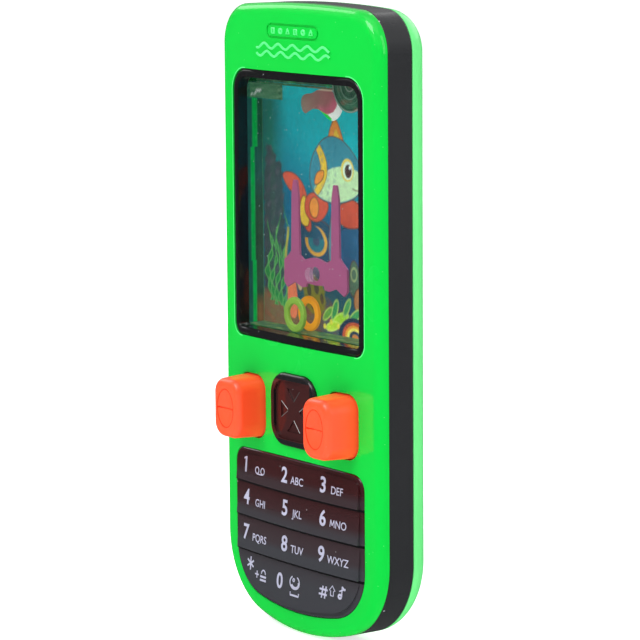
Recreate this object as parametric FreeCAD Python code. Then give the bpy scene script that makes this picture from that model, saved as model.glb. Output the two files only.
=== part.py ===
import FreeCAD, Part
import math
import os

V = FreeCAD.Vector

# A water ring-toss game in the shape of a bar phone, in millimetres.
# The phone stands upright: +Z to its top end, the screen faces -Y, +X is the
# viewer's right. The origin is the middle of the flat back face.

# Driving sizes of the case
case_half_width = 29.0
case_top = 69.5
case_bottom = -69.5
top_arc_radius, top_corner_radius = 300.0, 9.0
bottom_arc_radius, bottom_corner_radius = 60.0, 18.0
crown_radius = 290.0          # the front face bows outwards across its width
face_y = -16.9                # crest of the front face
band_front_y = -13.0
band_rear_y = -6.4
wall = 1.8
cover_wall = 1.6
cover_edge_width = 8.4        # how far the back's rounded edge reaches in from the side
front_edge_radius = 2.2
skirt_outer, skirt_inner = 1.9, 3.1
skirt_rear_y = -5.3
clearance = 0.1

# Screen opening and the black bezel in it
window_half_width = 24.1
window_bottom, window_top = -5.05, 54.6
window_top_radius, window_bottom_radius = 5.0, 2.8
rim_width = 1.9
step_floors, step_inset = (-25.0, -15.1, -14.5, -13.9), 0.3
bezel_flange = 1.3

# Water tank behind the screen
lens_front_y, lens_thickness = -13.3, 1.2
tank_half_width, tank_wall = 25.8, 1.0
tank_floor, tank_ceiling = -3.2, 51.2
corner_block_z = 47.7        # underside of the clear block in the tank's upper left corner
tank_bottom, tank_top = -5.6, 53.4
tank_inner_rear_y, tank_rear_y = -3.6, -2.6
card_half_width, card_thickness, card_top = 23.4, 0.3, 50.3
neck_x, neck_z, neck_radius = 15.0, 52.8, 6.3
plug_radius = 3.2

# Spike stand, its clear post and the loose rings
stand_y, stand_thickness = -8.7, 0.9
spike_offset, spike_width, spike_tip_z = 7.4, 3.1, 30.4
post_z, post_radius = 10.3, 1.6
ring_radius, ring_section, ring_thickness = 3.9, 1.6, 1.5
lime_ring_place = (-6.4, -10.7)      # X and Y of the ring's centre
orange_ring_place = (-5.7, -4.6)

# Pump buttons
button_x, button_z = 16.8, -20.45
button_face_y = -23.9
button_base = (10.4, 14.0)
button_face = (9.6, 13.1)
button_hole = (10.9, 14.5)
button_corner_radius, button_edge_radius = 3.3, 1.5
button_dish = (3.1, 4.8, 0.55)       # half width, half height and depth of the oval dish
button_flange = (12.4, 16.0)
well_floor_y = -14.6
flange_front_y, flange_thickness = -14.1, 1.2
well_gap, guide_wall = 0.15, 1.0
manifold_front_y, manifold_rear_y = -4.9, -1.75
cup_radius, cup_wall, cup_height = 5.8, 0.8, 1.5
jet_y, jet_radius, jet_bore = -7.8, 1.8, 0.6

# Navigation pad and keypad
pad_half_width, pad_bottom, pad_top = 8.4, -27.6, -11.4
keypad_half_width, keypad_top, keypad_bottom = 24.0, -30.2, -64.7
pad_rise, pad_rim, pad_field_depth = 0.9, 1.6, 0.6
arrow_tip, arrow_base, arrow_depth = 2.0, 4.8, 0.35      # distances from the pad's middle, and depth
arrow_half_width = {0: 2.5, 90: 1.95, 180: 2.5, 270: 1.95}
keypad_rows = 4
first_row_height, row_pitch = 7.05, 7.85
keypad_rise, keypad_rim = 0.2, 1.2
row_rise, row_tilt, row_gap = 0.95, 5.0, 0.45
recess_floor_y, recess_rear_y = -14.5, -13.3

# Case screws: places on the rear face
screw_places = [(side * x, z) for x, z in ((19.4, 62.0), (19.0, -38.0), (12.0, -57.5)) for side in (-1, 1)]
screw_radius, screw_head_radius, screw_head_thickness = 1.0, 2.1, 1.3
boss_radius = 2.5
screw_well_depth = 1.7
screw_tip_y = -12.0


def cylinderY(x, z, radius, y0, y1):
    return Part.makeCylinder(radius, y1 - y0, V(x, y0, z), V(0, 1, 0))


def boxBetween(low, high):
    size = [b - a for a, b in zip(low, high)]
    return Part.makeBox(*size, V(*low))


def prismY(wire, y0, y1):
    """Carries a closed outline drawn at y = 0 from y0 to y1."""
    face = Part.Face(wire)
    face.translate(V(0, y0, 0))
    return face.extrude(V(0, y1 - y0, 0))


def closedWire(points, arcs):
    """A loop of points where arcs[i] is the middle point of an arc after point i, or None for a line."""
    edges = []
    for i, start in enumerate(points):
        end = points[(i + 1) % len(points)]
        if arcs[i] is None:
            edges.append(Part.LineSegment(start, end).toShape())
        else:
            edges.append(Part.Arc(start, arcs[i], end).toShape())
    return Part.Wire(edges)


def roundedBlock(x0, x1, z0, z1, y0, y1, bottom_radius, top_radius=None):
    """A block along Y whose lower and upper corners may have different radii."""
    if top_radius is None:
        top_radius = bottom_radius
    corners = ((x1, z0, bottom_radius, -45), (x1, z1, top_radius, 45),
               (x0, z1, top_radius, 135), (x0, z0, bottom_radius, 225))
    points, arcs = [], []
    for x, z, radius, middle in corners:
        cx = x - math.copysign(radius, x - (x0 + x1) / 2)
        cz = z - math.copysign(radius, z - (z0 + z1) / 2)
        for turn in (-45, 45):
            angle = math.radians(middle + turn)
            points.append(V(cx + radius * math.cos(angle), 0, cz + radius * math.sin(angle)))
        angle = math.radians(middle)
        arcs += [V(cx + radius * math.cos(angle), 0, cz + radius * math.sin(angle)), None]
    return prismY(closedWire(points, arcs), y0, y1)


def phoneOutline(half_width, top, bottom, top_arc, top_corner, bottom_arc, bottom_corner, inset=0.0):
    """Straight sides, an arched top and a rounder bottom, all arcs tangent, moved inwards by inset."""
    def end(sign, tip, arc, corner):
        centre_z = tip - sign * arc
        cx = half_width - corner
        rise = math.sqrt((arc - corner) ** 2 - cx ** 2)
        cz = centre_z + sign * rise
        direction = math.atan2(sign * rise, cx)
        meet = V(cx + (corner - inset) * math.cos(direction), 0, cz + (corner - inset) * math.sin(direction))
        middle = V(cx + (corner - inset) * math.cos(direction / 2), 0,
                   cz + (corner - inset) * math.sin(direction / 2))
        return V(half_width - inset, 0, cz), middle, meet, V(0, 0, tip - sign * inset)

    def mirrored(point):
        return V(-point.x, 0, point.z)

    t_side, t_middle, t_meet, t_apex = end(1, top, top_arc, top_corner)
    b_side, b_middle, b_meet, b_apex = end(-1, bottom, bottom_arc, bottom_corner)
    points = [b_side, t_side, t_meet, mirrored(t_meet), mirrored(t_side),
              mirrored(b_side), mirrored(b_meet), b_meet]
    arcs = [None, t_middle, t_apex, mirrored(t_middle), None, mirrored(b_middle), b_apex, b_middle]
    return closedWire(points, arcs)


def casePrism(inset, y0, y1):
    outline = phoneOutline(case_half_width, case_top, case_bottom, top_arc_radius, top_corner_radius,
                           bottom_arc_radius, bottom_corner_radius, inset)
    return prismY(outline, y0, y1)


def keypadPrism(grow, y0, y1):
    outline = phoneOutline(keypad_half_width, keypad_top, keypad_bottom, 600.0, 3.5, 75.0, 11.5, -grow)
    return prismY(outline, y0, y1)


def crown(depth):
    """Everything behind the front face's bowed surface, or behind a surface depth mm inside it."""
    return Part.makeCylinder(crown_radius - depth, 200, V(0, face_y + crown_radius, -100), V(0, 0, 1))


def edgesBy(shape, test):
    return [e for e in shape.Edges if all(test(v.Point) for v in e.Vertexes) and len(e.Vertexes) > 1]


def filletBy(shape, radius, test):
    return shape.makeFillet(radius, edgesBy(shape, test))


def sides():
    return ((-1, "left"), (1, "right"))


def windowBlock(grow, y0, y1):
    lower, upper = (max(r + grow, 0.8) for r in (window_bottom_radius, window_top_radius))
    return roundedBlock(-window_half_width - grow, window_half_width + grow, window_bottom - grow,
                        window_top + grow, y0, y1, lower, upper)


def padBlock(grow, y0, y1):
    return roundedBlock(-pad_half_width - grow, pad_half_width + grow, pad_bottom - grow, pad_top + grow,
                        y0, y1, 5.0 + grow)


def buttonBlock(size, sign, y0, y1, radius):
    half_x, half_z = size[0] / 2, size[1] / 2
    return roundedBlock(sign * button_x - half_x, sign * button_x + half_x, button_z - half_z,
                        button_z + half_z, y0, y1, radius)


def frontShell():
    far = -25.0
    outer = casePrism(0, far, band_front_y).common(crown(0))
    outer = filletBy(outer, front_edge_radius, lambda p: p.y < band_front_y - 1)
    hollow = casePrism(skirt_inner, far, 0).common(crown(wall))
    shell = outer.cut(hollow)
    adds = [keypadPrism(1.2, far, recess_rear_y).common(crown(1.0)),
            padBlock(1.0, far, recess_rear_y).common(crown(1.0))]
    guide, well = guideSizes()
    for sign, _ in sides():
        adds.append(buttonBlock(guide, sign, far, well_floor_y, 2.4).common(crown(1.0)))
    shell = shell.fuse(adds)
    cuts = [windowBlock(0, far, 0), keypadPrism(clearance, far, recess_floor_y),
            padBlock(clearance, far, recess_floor_y)]
    for sign, _ in sides():
        cuts.append(buttonBlock(well, sign, well_floor_y, 0, 1.6))
        cuts.append(buttonBlock(button_hole, sign, far, -10, button_corner_radius + 0.25))
    shell = shell.cut(cuts)
    return engraveEarpiece(shell).removeSplitter()


def guideSizes():
    """Outer and inner widths of the sleeve that a button's flange slides in."""
    well = [d + 2 * well_gap for d in button_flange]
    return [d + 2 * guide_wall for d in well], well


def matingSkirt():
    """The wall inside the band that the two halves of the case locate on."""
    return casePrism(skirt_outer, band_front_y, skirt_rear_y).cut(casePrism(skirt_inner, -20, 0))


def screwBosses(shell):
    """Posts on the shell's inside, each with a pilot hole for one screw."""
    posts = []
    for x, z in screw_places:
        post = cylinderY(x, z, boss_radius, face_y, band_rear_y + 0.2)
        pilot = cylinderY(x, z, screw_radius + 0.05, screw_tip_y - 0.5, 0)
        posts.append(max(post.cut([shell, pilot]).Solids, key=lambda solid: solid.CenterOfMass.y))
    return Part.makeCompound(posts)


def buttonGuide(sign, shell):
    """The sleeve behind a button's hole, standing on the shell's inside."""
    guide, well = guideSizes()
    sleeve = buttonBlock(guide, sign, face_y + 1.2, manifold_front_y - clearance, 2.4)
    sleeve = sleeve.cut([buttonBlock(well, sign, -25, 0, 1.6), shell])
    return max(sleeve.Solids, key=lambda solid: solid.Volume)


def engraveEarpiece(shell):
    """A shallow groove round a pill."""
    def pill(grow):
        return roundedBlock(-9.3 - grow, 9.3 + grow, 62.0 - grow, 64.8 + grow, -25, 0, 1.39 + grow)
    groove = pill(0.25).cut(pill(-0.25)).cut(crown(0.3))
    return shell.cut(groove)


def sideBand():
    y0, y1 = band_front_y + 0.05, band_rear_y - 0.05
    ring = casePrism(0, y0, y1)
    ring = ring.makeFillet(0.25, [e for e in ring.Edges if abs(e.Vertexes[0].Y - e.Vertexes[-1].Y) < 0.01])
    return ring.cut(casePrism(wall, -20, 0))


def domedBack(inset, width, depth):
    """A prism with an oval quarter-round edge; its last 0.02 mm is planed off to leave a true flat."""
    tall = casePrism(inset, 0, width + 0.05)
    tall = filletBy(tall, width, lambda p: p.y > width)
    squeeze = FreeCAD.Matrix()
    squeeze.A22 = (depth + 0.02) / (width + 0.05)
    squeeze.A24 = band_rear_y
    keep = boxBetween((-40, band_rear_y - 1, -80), (40, band_rear_y + depth, 80))
    return tall.transformGeometry(squeeze).common(keep)


def rearCover():
    depth = -band_rear_y
    outer = domedBack(0, cover_edge_width, depth)
    hollow = domedBack(cover_wall, cover_edge_width - cover_wall, depth - cover_wall)
    cover = outer.cut(hollow)
    bosses, wells = [], []
    for x, z in screw_places:
        bosses.append(cylinderY(x, z, 3.6, -5.8, -cover_wall / 2))
        wells.append(cylinderY(x, z, screw_head_radius + 0.3, -screw_well_depth - screw_head_thickness, 1))
        wells.append(cylinderY(x, z, screw_radius + 0.2, -10, 1))
    return cover.fuse(bosses).cut(wells)


def rearScrews():
    head_y = -screw_well_depth
    shoulder_y = head_y - screw_head_thickness
    screws = []
    for x, z in screw_places:
        head = cylinderY(x, z, screw_head_radius, shoulder_y, head_y)
        shank = cylinderY(x, z, screw_radius, screw_tip_y, shoulder_y)
        slot_a = boxBetween((x - 1.3, head_y - 0.7, z - 0.28), (x + 1.3, head_y + 1, z + 0.28))
        slot_b = boxBetween((x - 0.28, head_y - 0.7, z - 1.3), (x + 0.28, head_y + 1, z + 1.3))
        screws.append(head.fuse(shank).cut([slot_a, slot_b]))
    return Part.makeCompound(screws)


def windowBezel():
    frame = windowBlock(-clearance, -25, lens_front_y - 0.02).common(crown(0.25))
    flange = windowBlock(bezel_flange, -25, lens_front_y - 0.02).common(crown(wall + 0.05))
    bezel = frame.fuse(flange)
    for k, floor in enumerate(step_floors):
        bezel = bezel.cut(windowBlock(-(rim_width + k * step_inset), floor, 0))
    return bezel.removeSplitter()


def tankOutline(y0, y1, radius):
    return roundedBlock(-tank_half_width, tank_half_width, tank_bottom, tank_top, y0, y1, radius)


def tankWindow():
    return tankOutline(lens_front_y, lens_front_y + lens_thickness, 1.5)


def tankBody():
    front_y = lens_front_y + lens_thickness
    body = tankOutline(front_y, tank_rear_y, 1.5)
    for sign, _ in sides():
        x = sign * tank_half_width
        corner = Part.makePolygon([V(x, tank_rear_y - 1.5, -20), V(x - sign * 1.5, tank_rear_y, -20),
                                   V(x, tank_rear_y, -20), V(x, tank_rear_y - 1.5, -20)])
        body = body.cut(Part.Face(corner).extrude(V(0, 0, 90)))
    inner = tank_half_width - tank_wall
    body = body.cut(boxBetween((-inner, front_y - 1, tank_floor), (inner, tank_inner_rear_y, tank_ceiling)))
    neck = cylinderY(neck_x, neck_z, neck_radius, front_y, tank_rear_y)
    block = boxBetween((-inner - 0.5, front_y, corner_block_z),
                       (-12.0, tank_inner_rear_y + 0.5, tank_ceiling + 1))
    body = body.fuse([neck, block])
    cuts = [cylinderY(neck_x, neck_z, plug_radius, -8.0, 0)]
    cuts.append(Part.makeCylinder(0.8, 8.0, V(neck_x, -7.0, neck_z - 8.0), V(0, 0, 1)))
    for sign, _ in sides():
        at = V(sign * button_x, jet_y, tank_bottom - 1)
        cuts.append(Part.makeCylinder(jet_radius + 0.05, 6, at, V(0, 0, 1)))
    return body.cut(cuts)


def fillerPlug():
    stem = cylinderY(neck_x, neck_z, plug_radius - 0.05, -6.4, tank_rear_y)
    ribs = [cylinderY(neck_x, neck_z, r, -7.4, -6.2).cut(cylinderY(neck_x, neck_z, r - 0.5, -8, -5))
            for r in (3.1, 1.9)]
    return stem.fuse(ribs)


def pictureCard():
    return roundedBlock(-card_half_width, card_half_width, tank_floor - 0.8, card_top,
                        tank_rear_y + clearance, tank_rear_y + clearance + card_thickness, 1.0)


def spikeStand():
    """A flat moulding: a low block with lobed ends, a domed middle, two tall spikes and a notched foot."""
    inner, outer = spike_offset - spike_width / 2, spike_offset + spike_width / 2
    half = [(1.6, 13.7), (3.2, 13.3), (4.4, 13.1), (5.8, 13.9), (inner, 15.0), (inner + 0.3, 27.5),
            (spike_offset - 0.6, spike_tip_z), (spike_offset + 0.6, spike_tip_z), (outer - 0.3, 27.5),
            (outer, 14.6), (9.9, 13.7), (11.6, 12.4), (11.7, 7.5), (10.5, 6.4), (7.7, 7.8), (4.9, 6.9),
            (3.5, 7.1), (3.1, 8.0), (0.0, 7.8)]
    right = [V(x, 0, z) for x, z in half]
    left = [V(-x, 0, z) for x, z in reversed(half[:-1])]
    outline = Part.makePolygon([V(0, 0, 13.9)] + right + left + [V(0, 0, 13.9)])
    slab = prismY(outline, stand_y - stand_thickness / 2, stand_y + stand_thickness / 2)
    return slab.cut(cylinderY(0, post_z, post_radius + 0.05, -20, 0))


def standPost():
    return cylinderY(0, post_z, post_radius, lens_front_y + lens_thickness, tank_inner_rear_y)


def tossRing(place):
    x, y = place
    z = tank_floor + ring_radius + 0.02
    outer = cylinderY(x, z, ring_radius, y - ring_thickness / 2, y + ring_thickness / 2)
    ring = outer.cut(cylinderY(x, z, ring_radius - ring_section, -20, 0))
    return ring.makeFillet(0.35, [e for e in ring.Edges if len(e.Vertexes) == 1])


def pumpButton(sign):
    x = sign * button_x
    low, high = -14.0, button_face_y
    sections = []
    for size, y in ((button_base, low), (button_face, high)):
        block = buttonBlock(size, sign, y, y + 1, button_corner_radius)
        sections.append([f for f in block.Faces if abs(f.CenterOfMass.y - y) < 1e-6][0].OuterWire)
    cap = Part.makeLoft(sections, True, True)
    cap = filletBy(cap, button_edge_radius, lambda p: p.y < high + 0.01)
    flange = buttonBlock(button_flange, sign, flange_front_y, flange_front_y + flange_thickness, 1.6)
    return cap.fuse(flange).cut(buttonMarks(x)).removeSplitter()


def buttonMarks(x):
    """A shallow oval dish in the button's face, and a fine groove straight across its middle."""
    half_x, half_z, depth = button_dish
    radius = (half_x ** 2 + depth ** 2) / (2 * depth)
    stretch = FreeCAD.Matrix()
    stretch.A33 = half_z / half_x
    stretch.A14, stretch.A24, stretch.A34 = x, button_face_y + depth - radius, button_z
    dish = Part.makeSphere(radius).transformGeometry(stretch)
    deep = button_face_y + depth + 0.2
    line = boxBetween((x - half_x, button_face_y - 1, button_z - 0.16), (x + half_x, deep, button_z + 0.16))
    return [dish, line]


def pumpBellows(sign):
    """A soft rubber bulb with two waists, standing in its cup and pushing the button out."""
    front = flange_front_y + flange_thickness + 0.02
    foot = manifold_front_y - 0.02
    foot_radius = cup_radius - cup_wall - clearance
    profile = [(0, front), (3.6, front), (4.4, front + 0.9), (3.5, front + 2.3), (4.6, front + 3.8),
               (3.9, front + 5.2), (foot_radius, foot - 1.2), (foot_radius, foot), (0, foot)]
    points = [V(r, y, 0) for r, y in profile]
    face = Part.Face(Part.makePolygon(points + points[:1]))
    body = face.revolve(V(0, 0, 0), V(0, 1, 0), 360)
    body.translate(V(sign * button_x, 0, button_z))
    return body


def pumpManifold():
    plate = roundedBlock(-21.5, 21.5, -29.5, -6.2, manifold_front_y, manifold_rear_y, 2.5)
    adds, cuts = [], []
    for sign, _ in sides():
        x = sign * button_x
        cup = cylinderY(x, button_z, cup_radius, manifold_front_y - cup_height, manifold_front_y + 0.5)
        adds.append(cup.cut(cylinderY(x, button_z, cup_radius - cup_wall, -20, manifold_front_y)))
        adds.append(boxBetween((x - 3.2, jet_y - 2.6, -10.2), (x + 3.2, manifold_front_y + 0.5, -6.2)))
        cuts.append(cylinderY(x, button_z, 1.4, manifold_front_y - 1, -3.0))
        cuts.append(Part.makeCylinder(0.8, 12.0, V(x, -3.4, button_z), V(0, 0, 1)))
        cuts.append(cylinderY(x, button_z + 11.6, 0.8, jet_y, -3.4))
        cuts.append(Part.makeCylinder(jet_radius + 0.05, 4, V(x, jet_y, -9.0), V(0, 0, 1)))
    return plate.fuse(adds).cut(cuts)


def jetNozzle(sign):
    low, high = -8.9, tank_floor
    at = V(sign * button_x, jet_y, low)
    tube = Part.makeCylinder(jet_radius, high - low, at, V(0, 0, 1))
    return tube.cut(Part.makeCylinder(jet_bore, high - low, at, V(0, 0, 1)))


def navigationPad():
    """A raised rounded square: a rounded rim round a lower field with four arrowhead pits, points inwards."""
    pad = padBlock(0, -25, recess_floor_y - 0.02).common(crown(-pad_rise))
    pad = filletBy(pad, 0.75, lambda p: p.y < face_y + 0.5)
    pad = pad.cut(padBlock(-pad_rim, -25, 0).cut(crown(-pad_rise + pad_field_depth)))
    pit_floor = crown(-pad_rise + pad_field_depth + arrow_depth)
    return pad.cut([arrowPrism(angle).cut(pit_floor) for angle in arrow_half_width])


def arrowPrism(angle):
    half = arrow_half_width[angle]
    points = [V(0, 0, arrow_tip), V(half, 0, arrow_base), V(-half, 0, arrow_base)]
    prism = prismY(Part.makePolygon(points + points[:1]), -25, recess_floor_y - 0.5)
    prism.rotate(V(0, 0, 0), V(0, 1, 0), angle)
    prism.translate(V(0, 0, (pad_bottom + pad_top) / 2))
    return prism


def keypadPanel():
    """A low plate with a rounded edge that carries four raised rows, each proudest along its lower edge."""
    plate = keypadPrism(0, -25, recess_floor_y - 0.02).common(crown(-keypad_rise))
    plate = filletBy(plate, 0.5, lambda p: p.y < face_y + 1.5)
    rows = []
    for k in range(keypad_rows):
        top = keypad_top - keypad_rim - (first_row_height + (k - 1) * row_pitch if k else 0)
        foot = top - (row_pitch if k else first_row_height) + row_gap
        rows.append(keypadRow(top, foot, foot if k < keypad_rows - 1 else keypad_bottom))
    return plate.fuse(rows)


def keypadRow(top, foot, bottom):
    """One row from top down to bottom, under a bowed surface tilted about a line at height foot."""
    slab = boxBetween((-40, -25, bottom), (40, recess_floor_y - 0.1, top))
    surface = crown(-row_rise)
    surface.rotate(V(0, face_y - row_rise, foot), V(1, 0, 0), -row_tilt)
    return keypadPrism(-keypad_rim, -25, recess_floor_y).common(slab).common(surface)


def build():
    shell = frontShell()
    parts = {
        "front_shell": shell,
        "mating_skirt": matingSkirt(),
        "screw_bosses": screwBosses(shell),
        "side_band": sideBand(),
        "rear_cover": rearCover(),
        "rear_screws": rearScrews(),
        "window_bezel": windowBezel(),
        "tank_window": tankWindow(),
        "tank_body": tankBody(),
        "filler_plug": fillerPlug(),
        "picture_card": pictureCard(),
        "spike_stand": spikeStand(),
        "stand_post": standPost(),
        "lime_ring": tossRing(lime_ring_place),
        "orange_ring": tossRing(orange_ring_place),
        "navigation_pad": navigationPad(),
        "keypad_panel": keypadPanel(),
        "pump_manifold": pumpManifold(),
    }
    for sign, side in sides():
        parts[side + "_button_guide"] = buttonGuide(sign, shell)
        parts[side + "_pump_button"] = pumpButton(sign)
        parts[side + "_pump_bellows"] = pumpBellows(sign)
        parts[side + "_jet_nozzle"] = jetNozzle(sign)
    return parts


os.makedirs("parts", exist_ok=True)
for name, shape in build().items():
    print(name, "valid", shape.isValid(), "solids", len(shape.Solids), "volume", round(shape.Volume, 1))
    shape.exportStep("parts/" + name + ".step")
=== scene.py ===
import bpy
import math
import numpy as np
from mathutils import Matrix, Vector


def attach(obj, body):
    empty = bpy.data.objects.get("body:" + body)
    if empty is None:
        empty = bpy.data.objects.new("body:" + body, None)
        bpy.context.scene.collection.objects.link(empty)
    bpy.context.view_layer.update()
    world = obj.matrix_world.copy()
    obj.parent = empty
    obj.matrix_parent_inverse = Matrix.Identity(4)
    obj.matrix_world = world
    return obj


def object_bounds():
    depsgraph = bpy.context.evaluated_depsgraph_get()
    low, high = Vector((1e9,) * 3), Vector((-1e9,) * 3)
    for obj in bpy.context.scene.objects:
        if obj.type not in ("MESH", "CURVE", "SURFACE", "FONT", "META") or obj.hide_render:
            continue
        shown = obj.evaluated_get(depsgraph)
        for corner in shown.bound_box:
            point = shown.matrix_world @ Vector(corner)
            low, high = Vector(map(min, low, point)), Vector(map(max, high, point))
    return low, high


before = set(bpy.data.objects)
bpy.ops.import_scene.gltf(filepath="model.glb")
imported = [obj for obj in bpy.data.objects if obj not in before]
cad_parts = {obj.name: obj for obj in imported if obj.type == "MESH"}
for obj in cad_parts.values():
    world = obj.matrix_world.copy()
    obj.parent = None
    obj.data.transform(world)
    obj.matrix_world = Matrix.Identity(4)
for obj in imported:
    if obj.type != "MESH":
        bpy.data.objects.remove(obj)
cadBounds = [list(corner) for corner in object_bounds()]
print("frame loaded:", len(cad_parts), "nodes")

mm = 0.001


# small helpers for node trees

def fill(tree, node, inputs):
    # each input is a plain value or the output of another node
    for key, value in inputs.items():
        if isinstance(value, bpy.types.NodeSocket):
            tree.links.new(value, node.inputs[key])
        else:
            node.inputs[key].default_value = value


def addNode(tree, kind, where, inputs=None, **settings):
    node = tree.nodes.new(kind)
    node.location = where
    for key, value in settings.items():
        setattr(node, key, value)
    fill(tree, node, inputs or {})
    return node


def mathNode(tree, where, operation, *values, **settings):
    # a sum, product or comparison of the values, in the order that the operation takes them
    return addNode(tree, "ShaderNodeMath", where, dict(enumerate(values)), operation=operation,
                   **settings).outputs["Value"]


def rangeNode(tree, where, value, fromMin, fromMax, toMin=0.0, toMax=1.0, smooth=False):
    # a value spread from one range onto another, in a straight line or along an S
    inputs = {"Value": value, "From Min": fromMin, "From Max": fromMax, "To Min": toMin, "To Max": toMax}
    kind = "SMOOTHSTEP" if smooth else "LINEAR"
    return addNode(tree, "ShaderNodeMapRange", where, inputs, interpolation_type=kind).outputs["Result"]


def mixNode(tree, where, share, *colours):
    # the first colour where the share is nought, the second where it is one
    inputs = {"Factor": share}
    for key, colour in zip("AB", colours):
        inputs[key] = colour if isinstance(colour, bpy.types.NodeSocket) else (*colour, 1)
    return addNode(tree, "ShaderNodeMix", where, inputs, data_type="RGBA").outputs["Result"]


def noiseNode(tree, where, place, scale, detail, roughness=0.5):
    inputs = {"Vector": place, "Scale": scale, "Detail": detail, "Roughness": roughness}
    return addNode(tree, "ShaderNodeTexNoise", where, inputs).outputs["Fac"]


def objectPlace(tree, where):
    return addNode(tree, "ShaderNodeTexCoord", where).outputs["Object"]


def blankMaterial(name):
    material = bpy.data.materials.new(name)
    material.use_nodes = True
    tree = material.node_tree
    return material, tree, tree.nodes["Principled BSDF"]


# camera, floor and light

cameraSettings = {
    "place": (0.5634, -0.4192, 0.1030),
    "azimuth": 54.0,            # degrees round from the front, towards the phone's right side
    "elevation": 8.41,
    "roll": -0.41,
    "lens": 180.44,
    "sensor": 36.0,
}


def makeCamera(s):
    a, e, r = (math.radians(s[k]) for k in ("azimuth", "elevation", "roll"))
    back = Vector((math.sin(a) * math.cos(e), -math.cos(a) * math.cos(e), math.sin(e)))
    right = (-back).cross(Vector((0, 0, 1))).normalized()
    up = back.cross(right)
    rolledRight = right * math.cos(r) + up * math.sin(r)
    rolledUp = up * math.cos(r) - right * math.sin(r)
    data = bpy.data.cameras.new("camera")
    data.lens, data.sensor_width = s["lens"], s["sensor"]
    data.clip_start, data.clip_end = 0.01, 100.0
    camera = bpy.data.objects.new("camera", data)
    turn = Matrix((rolledRight, rolledUp, back)).transposed().to_4x4()
    camera.matrix_world = Matrix.Translation(s["place"]) @ turn
    bpy.context.scene.collection.objects.link(camera)
    bpy.context.scene.camera = camera


lightSettings = {
    "horizonGlow": 0.10,        # world brightness below and at the horizon
    "skyGlow": 0.55,            # world brightness overhead
    "areas": {
        # name: (place, size, power, colour)
        "top": ((0.25, -0.20, 0.95), (0.9, 0.9), 2.2, (1.0, 1.0, 1.0)),
        "glint": ((0.12, -0.72, 0.84), (0.52, 0.52), 6.2, (1.0, 1.0, 1.0)),
        "front": ((0.12, -1.05, 0.62), (0.8, 0.5), 0.6, (1.0, 0.99, 0.97)),
        "side": ((1.05, 0.30, 0.45), (0.4, 0.9), 2.4, (0.97, 0.99, 1.0)),
        "left": ((-1.0, -0.15, 0.75), (0.5, 0.7), 2.4, (1.0, 1.0, 1.0)),
        "rear": ((-0.2, 1.0, 0.6), (1.0, 0.7), 3.5, (1.0, 1.0, 1.0)),
    },
    "aim": (0.0, 0.0, 0.0),
}


def makeLights(s):
    # a studio sky that is bright overhead and dim at the horizon but white to the camera, with soft panels
    world = bpy.data.worlds.new("studio")
    world.use_nodes = True
    tree = world.node_tree
    direction = addNode(tree, "ShaderNodeTexCoord", (-900, 0)).outputs["Generated"]
    up = addNode(tree, "ShaderNodeSeparateXYZ", (-700, 0), {"Vector": direction}).outputs["Z"]
    rise = rangeNode(tree, (-500, 0), up, -0.05, 0.55, s["horizonGlow"], s["skyGlow"], smooth=True)
    seen = addNode(tree, "ShaderNodeLightPath", (-500, -300)).outputs["Is Camera Ray"]
    strength = mathNode(tree, (-250, 0), "MAXIMUM", rise, seen)
    fill(tree, tree.nodes["Background"], {"Color": (1, 1, 1, 1), "Strength": strength})
    bpy.context.scene.world = world
    for name, (place, size, power, colour) in s["areas"].items():
        data = bpy.data.lights.new(name + "Light", "AREA")
        data.shape = "RECTANGLE"
        data.size, data.size_y = size
        data.energy, data.color = power, colour
        light = bpy.data.objects.new(name + "Light", data)
        light.location = place
        light.rotation_euler = (Vector(s["aim"]) - Vector(place)).to_track_quat("-Z", "Y").to_euler()
        bpy.context.scene.collection.objects.link(light)


floorSettings = {"half": 40.0, "colour": (0.85, 0.85, 0.85), "glow": 0.72, "roughness": 0.9, "below": 0.0002}


def makeFloor(s, foot):
    # a wide sheet just under the phone that doesn't show in its gloss
    h, height = s["half"], foot - s["below"]
    mesh = bpy.data.meshes.new("floor")
    mesh.from_pydata([(-h, -h, height), (h, -h, height), (h, h, height), (-h, h, height)], [], [(0, 1, 2, 3)])
    material, tree, shader = blankMaterial("floorPaper")
    fill(tree, shader, {"Base Color": (*s["colour"], 1), "Roughness": s["roughness"],
                        "Emission Color": (1, 1, 1, 1), "Emission Strength": s["glow"]})
    mesh.materials.append(material)
    floor = bpy.data.objects.new("floor", mesh)
    bpy.context.scene.collection.objects.link(floor)
    floor.visible_glossy = False
    floor.visible_transmission = False


makeCamera(cameraSettings)
makeLights(lightSettings)
makeFloor(floorSettings, cadBounds[0][2])
bpy.context.scene.view_settings.view_transform = "Standard"
bpy.context.scene.view_settings.look = "None"
print("camera, lights and floor made")


# shared effects

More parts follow.
